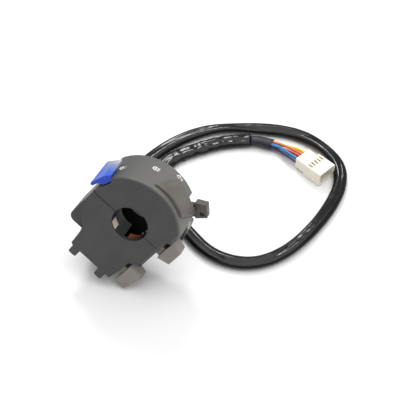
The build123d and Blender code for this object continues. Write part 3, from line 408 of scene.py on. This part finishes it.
def splineThrough(name, points, thickness=0.0):  # one smooth NURBS line in a curve object
    data = bpy.data.curves.new(name, "CURVE")
    data.dimensions = "3D"
    data.resolution_u = 12
    spline = data.splines.new("NURBS")
    spline.points.add(len(points) - 1)
    for control, place in zip(spline.points, points):
        control.co = (place.x, place.y, place.z, 1.0)
    spline.order_u = 3
    spline.use_endpoint_u = True
    data.bevel_depth = thickness
    data.bevel_resolution = 5
    data.use_fill_caps = True
    piece = bpy.data.objects.new(name, data)
    bpy.context.collection.objects.link(piece)
    return piece


def linePoints(name, points):  # points along the spline, read from its own mesh
    guide = splineThrough(name, points)
    mesh = bpy.data.meshes.new_from_object(guide)
    found = [vertex.co.copy() for vertex in mesh.vertices]
    bpy.data.objects.remove(guide)
    bpy.data.meshes.remove(mesh)
    return found


def evenPoints(points, step):  # the same line with even spacing
    found = [points[0]]
    left = step
    for start, end in zip(points, points[1:]):
        run = (end - start).length
        while left <= run:
            found.append(start.lerp(end, left / run))
            left += step
        left -= run
    found.append(points[-1])
    return found


def sleeveMesh(name, path, settings, material, startShare, endShare, plain):
    # rings bridged along the path: flattened, smooth at first, then crumpled past the fold
    shape = bmesh.new()
    total = len(path) - 1
    rings = []
    side = None
    for index, place in enumerate(path):
        share = startShare + (endShare - startShare) * index / total
        ahead = path[min(index + 1, total)] - path[max(index - 1, 0)]
        ahead.normalize()
        side = Vector((0, 0, 1)).cross(ahead).normalized()
        lift = ahead.cross(side)
        arc = share * settings["noiseTurns"]
        flat, crumpled = 1.0, 0.0
        if not plain:
            flat = min(1.0, max(0.0, (index - settings["roundRings"]) / settings["flattenRings"]))
            past = (share - settings["crumpleFrom"]) / settings["crumpleOver"]
            crumpled = min(1.0, max(0.0, past))
        swell = 1 + settings["crumpleSwell"] * crumpled
        wide = swell * settings["width"] / 2 * (0.97 + 0.07 * noise.noise(Vector((arc * 0.05, 3.1, 0))))
        tall = settings["height"] / 2 * (0.97 + 0.09 * noise.noise(Vector((arc * 0.07, 0, 7.7))))
        if not plain:
            start = settings["roundRadius"]
            wide, tall = start + (wide - start) * flat, start + (tall - start) * flat
        roll = 0.5 * noise.noise(Vector((arc * 0.05, 9.2, 1.3))) * flat
        frameTurn = Matrix((side, lift, ahead)).transposed().to_4x4()
        turn = Matrix.Translation(place) @ frameTurn @ Matrix.Rotation(roll, 4, "Z")
        made = bmesh.ops.create_circle(shape, segments=settings["ringSides"], radius=1.0)
        for vertex in made["verts"]:
            x, y = vertex.co.x, vertex.co.y
            away = abs(x - settings["creaseSway"] * sin(arc * 0.07))
            groove = settings["creaseDepth"] * exp(-(away * settings["creaseShare"]) ** 2)
            dent = groove if y > 0 and not plain else 0
            ripple = noise.noise(Vector((x * 1.3, y * 1.3, arc * 0.4)))
            rough = settings["smoothShare"] + (1 - settings["smoothShare"]) * crumpled
            grow = settings["wrinkle"] * ripple * flat * rough
            local = Vector((x * (wide + grow), y * (tall + grow) - dent * flat, 0)) * mm
            vertex.co = turn @ local
            vertex.co.z = max(vertex.co.z, tableZ + settings["tableGap"] * mm)
        rings.append(made["verts"])
    for low, high in zip(rings, rings[1:]):
        edges = {e for v in low for e in v.link_edges if e.other_vert(v) in low}
        edges |= {e for v in high for e in v.link_edges if e.other_vert(v) in high}
        bmesh.ops.bridge_loops(shape, edges=list(edges))
    for ring in (rings[0], rings[-1]):
        bmesh.ops.contextual_create(shape, geom=ring)
    bmesh.ops.recalc_face_normals(shape, faces=shape.faces)
    return finishMesh(name, shape, material)


grommetX, grommetY = harness["grommet"]
exitStart = housingTurn @ (Vector((grommetX, grommetY, harness["grommetStart"])) * mm)
exitTurn = exitStart - barAxis * harness["exitRun"] * mm
harnessLine = linePoints("harnessGuide", [exitStart, exitTurn] + [onTable(p) for p in harnessRoute])
harnessPath = evenPoints(harnessLine, harness["ringEvery"] * mm)
tapeIndex = round(len(harnessPath) * harness["tapeFrom"])
sleeve = sleeveMesh("harnessSleeve", harnessPath[:tapeIndex + 1], harness, sleeveVinyl,
                    0.0, 1.0, False)
tapeSettings = dict(harness, width=8.4, height=6.8, wrinkle=1.2)
tape = sleeveMesh("harnessTape", harnessPath[tapeIndex:], tapeSettings, tapeVinyl,
                  0.0, 0.1, True)
for piece, node in ((sleeve, "harness_sleeve"), (tape, "harness_tape")):
    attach(piece, "housing")
    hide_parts(node)

print("wires")
wires = {
    "radius": 0.95, "middle": (54.8, 118.9, 4.3), "spread": (64.6, 115.8, 5.0),
    "plug": (81.6, 107.2), "plugTurn": radians(-27.8), "plugLength": 22.0, "plugHeight": 10.5,
    "pitch": 2.6, "intoPlug": 3.6,
    "bundle": [(-2.63, -0.95), (-1.37, 1.37), (0.0, -1.05), (1.37, 1.37), (2.63, -0.95)],
}
plugAlong = Vector((cos(wires["plugTurn"]), sin(wires["plugTurn"]), 0))
plugAcross = Vector((-plugAlong.y, plugAlong.x, 0))
plugMiddle = onTable((*wires["plug"], wires["plugHeight"] / 2))
tapeEnd = onTable(harnessRoute[-1])
endWay = (tapeEnd - onTable(harnessRoute[-2])).normalized()
endSide = Vector((0, 0, 1)).cross(endWay).normalized()
endLift = endWay.cross(endSide)
for index, colour in enumerate(wireColours):
    across, up = wires["bundle"][index]
    lift = (endSide * across + endLift * up) * wires["radius"] * mm
    row = (index - 2) * wires["pitch"] * mm
    first = tapeEnd + lift
    second = first + endWay * (onTable(wires["middle"]) - tapeEnd).length
    third = onTable(wires["spread"]) + plugAcross * row
    entry = plugMiddle - plugAlong * wires["plugLength"] / 2 * mm + plugAcross * row
    inside = entry + plugAlong * wires["intoPlug"] * mm
    wire = splineThrough("wire" + colour.capitalize(),
                         [first - endWay * 2 * mm, first, second, third, entry, inside],
                         wires["radius"] * mm)
    wire.data.materials.append(wireVinyls[colour])
    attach(wire, "housing")
    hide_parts("wire_" + colour)

print("printed signs")
signs = {"stroke": 0.62, "lift": 0.05, "thick": 0.05}


def printedSign(name, angle, deep, lines, turn):
    # strokes laid on the barrel: each line is a list of points across and along, in mm
    shape = bmesh.new()
    half = signs["stroke"] / 2
    for line in lines:
        for (x0, y0), (x1, y1) in zip(line, line[1:]):
            start, end = Vector((x0, y0, 0)), Vector((x1, y1, 0))
            way = end - start
            middle = (start + end) / 2
            lay = (Matrix.Translation(middle)
                   @ Vector((1, 0, 0)).rotation_difference(way).to_matrix().to_4x4()
                   @ Matrix.Diagonal((way.length / 2 + half, half, signs["thick"] / 2, 1)))
            bmesh.ops.create_cube(shape, size=2.0, matrix=lay)
    spin = Matrix.Rotation(radians(turn), 4, "Z")
    for vertex in shape.verts:
        flat = spin @ vertex.co
        vertex.co = onBarrel(angle, flat.x, deep + flat.y, signs["lift"] + vertex.co.z)
    bmesh.ops.recalc_face_normals(shape, faces=shape.faces)
    piece = finishMesh(name, shape, iconPaint, smooth=False)
    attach(piece, "housing")
    return piece


def arcLine(centre, radius, start, end, steps):
    return [(centre[0] + radius * cos(radians(start + (end - start) * k / steps)),
             centre[1] + radius * sin(radians(start + (end - start) * k / steps)))
            for k in range(steps + 1)]


lampOutline = [(0, -1.6)] + arcLine((0, 0), 1.6, -90, 90, 8) + [(0, -1.6)]
lampBeams = [[(-1.1, y), (-2.0, y)] for y in (-1.3, 0, 1.3)]
dipBeams = [[(-1.1, y), (-2.0, y + 0.5)] for y in (-1.5, -0.3, 0.9)]
arrowOutline = [(-2.1, 0), (-0.2, -1.8), (-0.2, -0.8), (1.9, -0.8), (1.9, 0.8), (-0.2, 0.8),
                (-0.2, 1.8), (-2.1, 0)]
printedSign("signFullBeam", 145, 11.6, [lampOutline] + lampBeams, 0)
printedSign("signDippedBeam", 111, 18.0, [lampOutline] + dipBeams, 0)
printedSign("signTurnLeft", 84, 24.9, [arrowOutline], 180)
printedSign("signTurnRight", 31, 17.0, [arrowOutline], 0)

print("small fixings")
# two contact rivets in the bore's wall: angle in degrees and place along the bar
rivets = {"radius": 0.8, "height": 0.4, "wall": 11.35, "places": [(-25.8, 5.8), (-14.9, 4.9)]}
for index, (angle, along) in enumerate(rivets["places"]):
    shape = bmesh.new()
    bmesh.ops.create_uvsphere(shape, u_segments=20, v_segments=10, radius=rivets["radius"] * mm)
    shape.transform(housingTurn @ Matrix.Rotation(radians(angle), 4, "Z")
                    @ Matrix.Translation(Vector((rivets["wall"], 0, along)) * mm)
                    @ Matrix.Diagonal((rivets["height"] / rivets["radius"], 1, 1, 1)))
    rivet = finishMesh(f"contactRivet{index + 1}", shape, zincSteel)
    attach(rivet, "housing")

print("floor and light")
stage = {"size": 8.0, "lookAt": (0.03, 0.04, 0), "floorColour": "ececec", "worldColour": "ffffff", "worldStrength": 0.56,
         "keyPower": 43.0, "keySize": 2.6, "keyPlace": (0.3, 0.15, 2.05),
         "glintPower": 11.0, "glintSize": 0.36, "glintPlace": (-0.45, 1.1, 1.3)}
shape = bmesh.new()
bmesh.ops.create_grid(shape, x_segments=1, y_segments=1, size=stage["size"] / 2,
                      matrix=Matrix.Translation((0, 0, tableZ)))
# coated paper sweep, white and matt
paper = newMaterial("coatedPaperWhite", **{"Base Color": linear(stage["floorColour"]),
                                           "Roughness": 0.85})[0]
floor = finishMesh("floor", shape, paper, smooth=False)
world = bpy.data.worlds.new("studio")
bpy.context.scene.world = world
world.use_nodes = True
world.node_tree.nodes["Background"].inputs["Color"].default_value = linear(stage["worldColour"])
world.node_tree.nodes["Background"].inputs["Strength"].default_value = stage["worldStrength"]
bpy.context.scene.view_settings.view_transform = "Standard"
for lampName in ("key", "glint"):
    lampData = bpy.data.lights.new(lampName + "Light", "AREA")
    lampData.energy = stage[lampName + "Power"]
    lampData.size = stage[lampName + "Size"]
    lamp = bpy.data.objects.new(lampName + "Light", lampData)
    bpy.context.collection.objects.link(lamp)
    lamp.location = stage[lampName + "Place"]
    aim = Vector(stage["lookAt"]) - lamp.location
    lamp.rotation_euler = aim.to_track_quat("-Z", "Y").to_euler()

bpy.context.view_layer.update()
